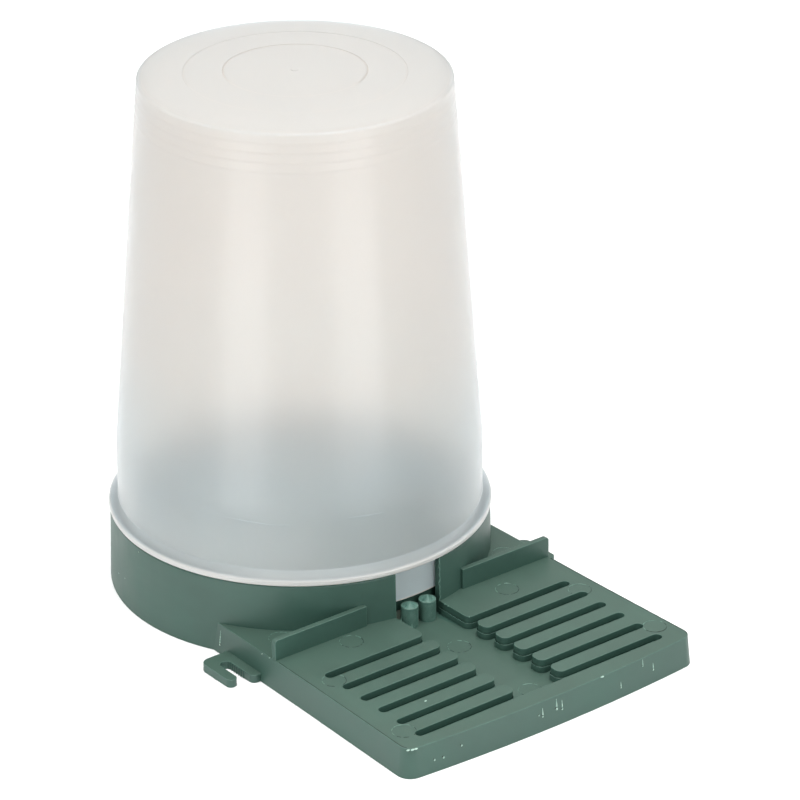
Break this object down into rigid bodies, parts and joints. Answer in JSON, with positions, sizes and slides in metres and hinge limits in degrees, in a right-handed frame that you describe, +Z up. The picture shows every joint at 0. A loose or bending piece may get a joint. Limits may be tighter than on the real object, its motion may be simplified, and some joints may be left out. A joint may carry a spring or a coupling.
{
  "type": "hive entrance feeder",
  "caption": "Hive entrance feeder: an upturned translucent reservoir lifts out of a ringed tray whose grooved platform slides into the hive entrance and is held by screw lugs.",
  "frame": {"origin": "where the reservoir's axis meets the surface that the feeder stands on", "axes": "+Z up along the reservoir's axis, -Y along the platform into the hive, +X across the platform to its right"},
  "size_m": [0.1708, 0.2487, 0.2237],
  "materials": {
    "base_plastic": "satin moulded polypropylene",
    "reservoir_plastic": "translucent moulded polypropylene"
  },
  "bodies": {
    "base": {"base": "base_plastic"},
    "reservoir": {"reservoir": "reservoir_plastic"}
  },
  "joints": [
    {"name": "reservoir_lift", "type": "slide", "parent": "base", "child": "reservoir", "axis": [0, 0, 1], "range_m": [0, 0.08]}
  ]
}
